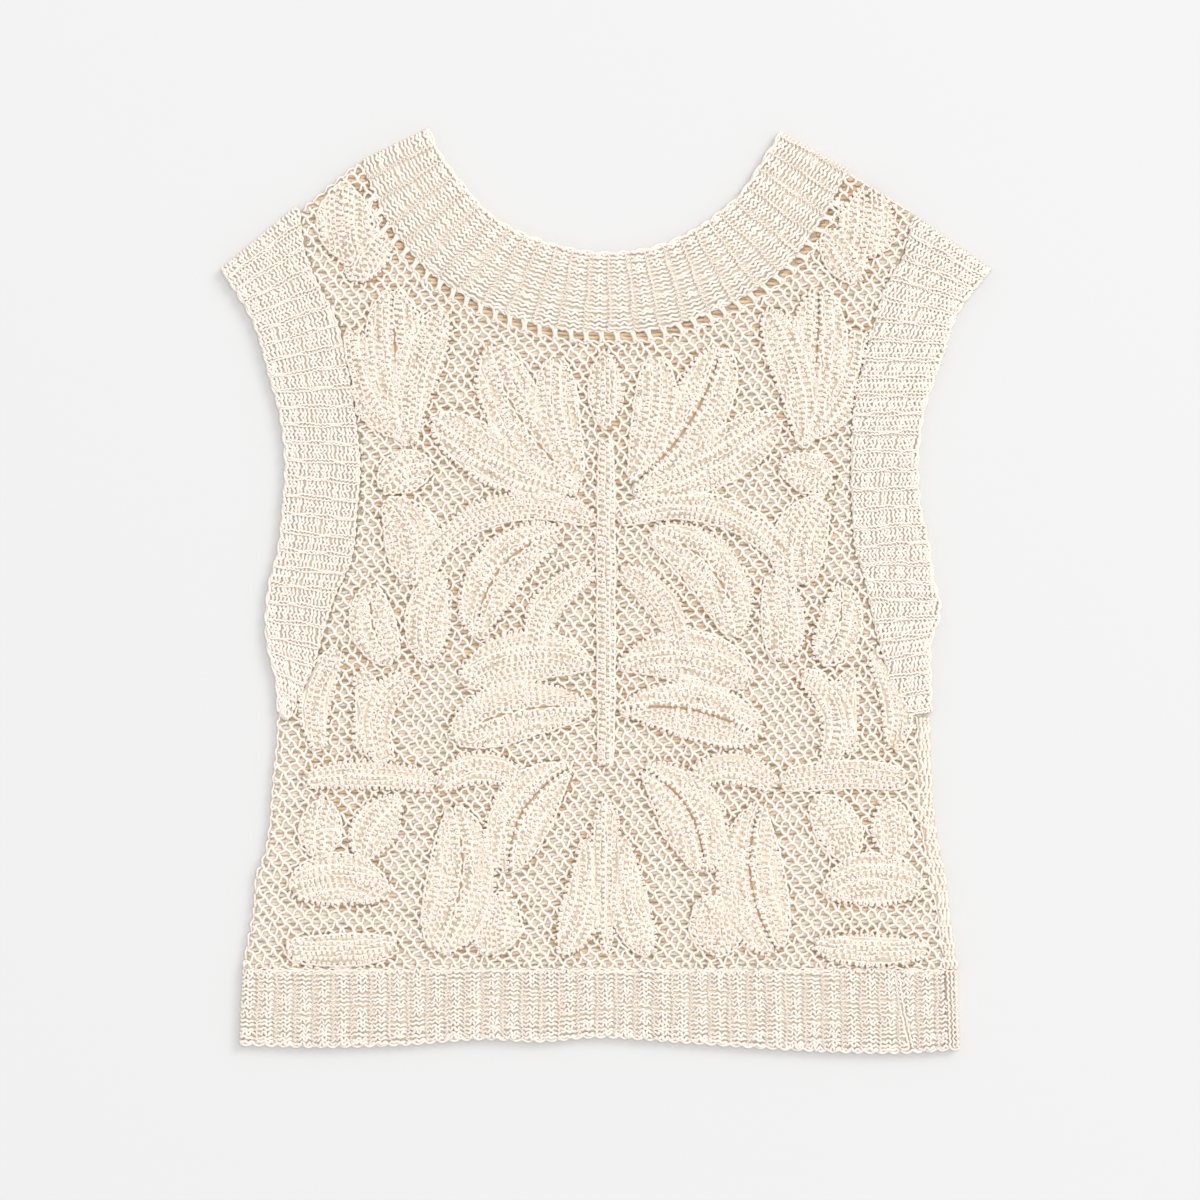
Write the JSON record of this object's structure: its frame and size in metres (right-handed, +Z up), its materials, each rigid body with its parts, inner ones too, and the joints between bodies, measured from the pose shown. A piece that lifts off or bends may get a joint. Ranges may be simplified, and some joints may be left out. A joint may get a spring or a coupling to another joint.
{
  "type": "sleeveless crochet top, laid flat",
  "caption": "Sleeveless cropped crochet top in cream cotton, laid flat, with ribbed neck, arm and hem bands and raised leaf motifs on an open net ground",
  "frame": {"origin": "On the surface the top lies on, under the middle of its outline", "axes": "+Z up out of the cloth's front, +Y from the hem towards the neck, +X towards the side that is on the right when the front is seen from above"},
  "size_m": [0.4428, 0.5324, 0.007],
  "materials": {
    "crochet_cotton": "matte crocheted cotton yarn"
  },
  "bodies": {
    "root": {"front_panel": "crochet_cotton", "back_panel": "crochet_cotton", "neckband_front": "crochet_cotton", "neckband_back": "crochet_cotton", "armband_left_front": "crochet_cotton", "armband_left_back": "crochet_cotton", "armband_right_front": "crochet_cotton", "armband_right_back": "crochet_cotton", "hem_band_front": "crochet_cotton", "hem_band_back": "crochet_cotton"}
  },
  "joints": []
}
